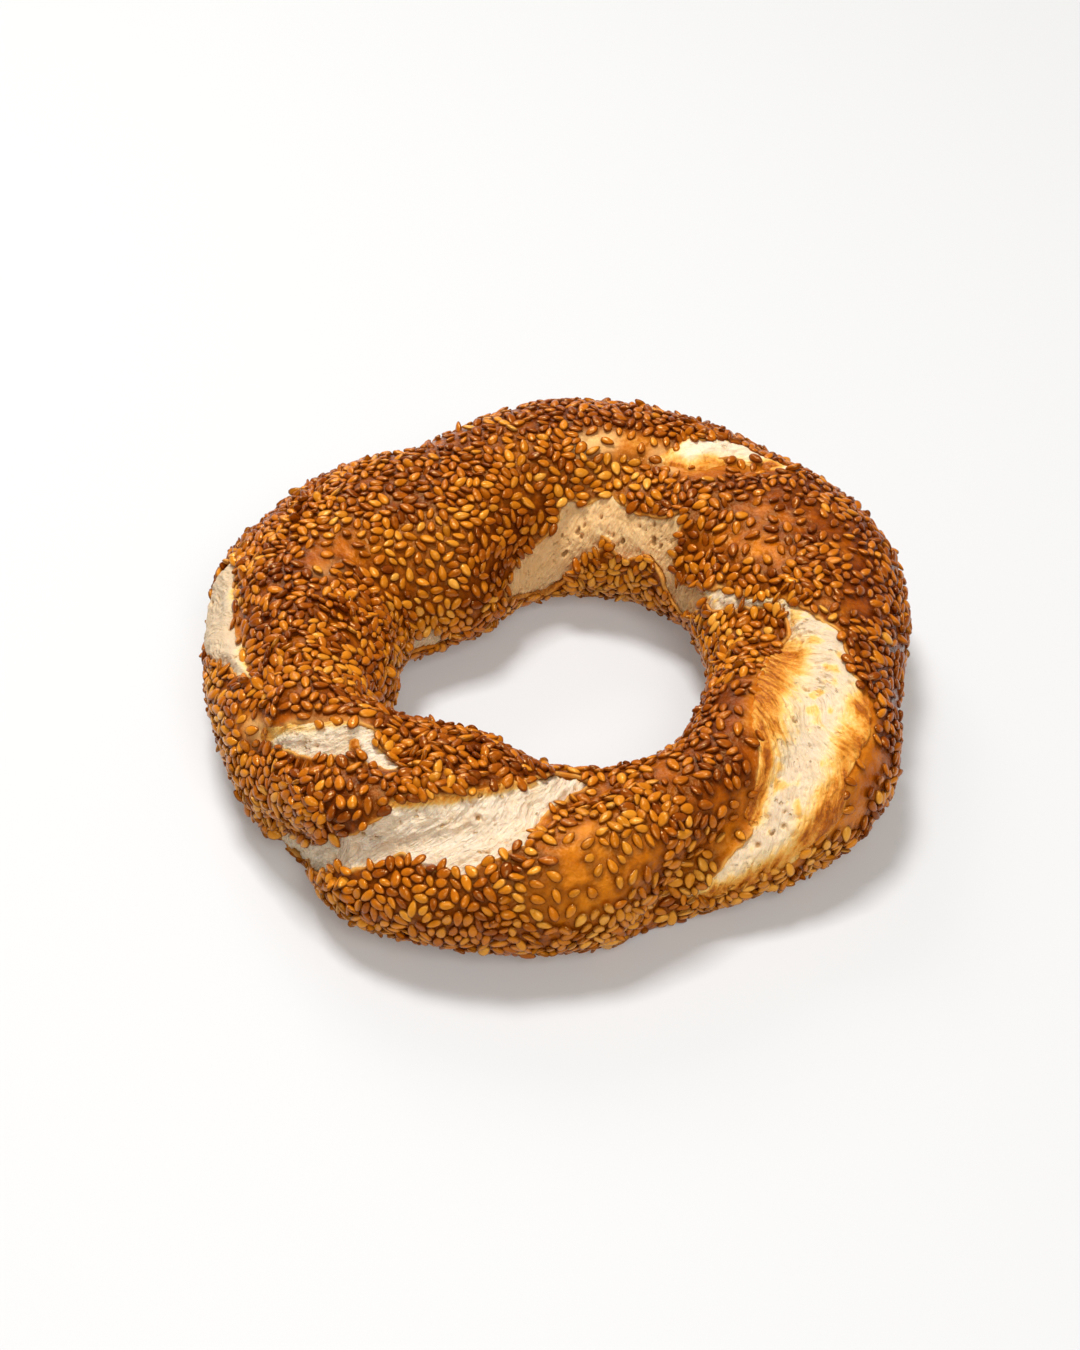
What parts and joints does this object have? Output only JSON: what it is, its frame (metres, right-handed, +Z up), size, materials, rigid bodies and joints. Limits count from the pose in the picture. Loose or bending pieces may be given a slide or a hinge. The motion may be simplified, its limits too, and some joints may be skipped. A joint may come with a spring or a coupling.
{
  "type": "simit",
  "caption": "Twisted sesame bread ring with a browned crust, torn seams that show the pale crumb, and a flat underside to rest on.",
  "frame": {"origin": "middle of the footprint, on the surface the ring lies on", "axes": "+Z up through the hole; +Y away from the viewer of the picture, along the ring's longer diameter; +X to the viewer's right"},
  "size_m": [0.1486, 0.159, 0.038],
  "materials": {
    "crust": "baked crust, brown and slightly glossy from the molasses dip",
    "crumb": "torn bread crumb, pale cream and matte, toasted at its edges",
    "sesame": "roasted sesame seed, golden to brown with a soft sheen"
  },
  "bodies": {
    "root": {"simit": "crust"}
  },
  "joints": []
}
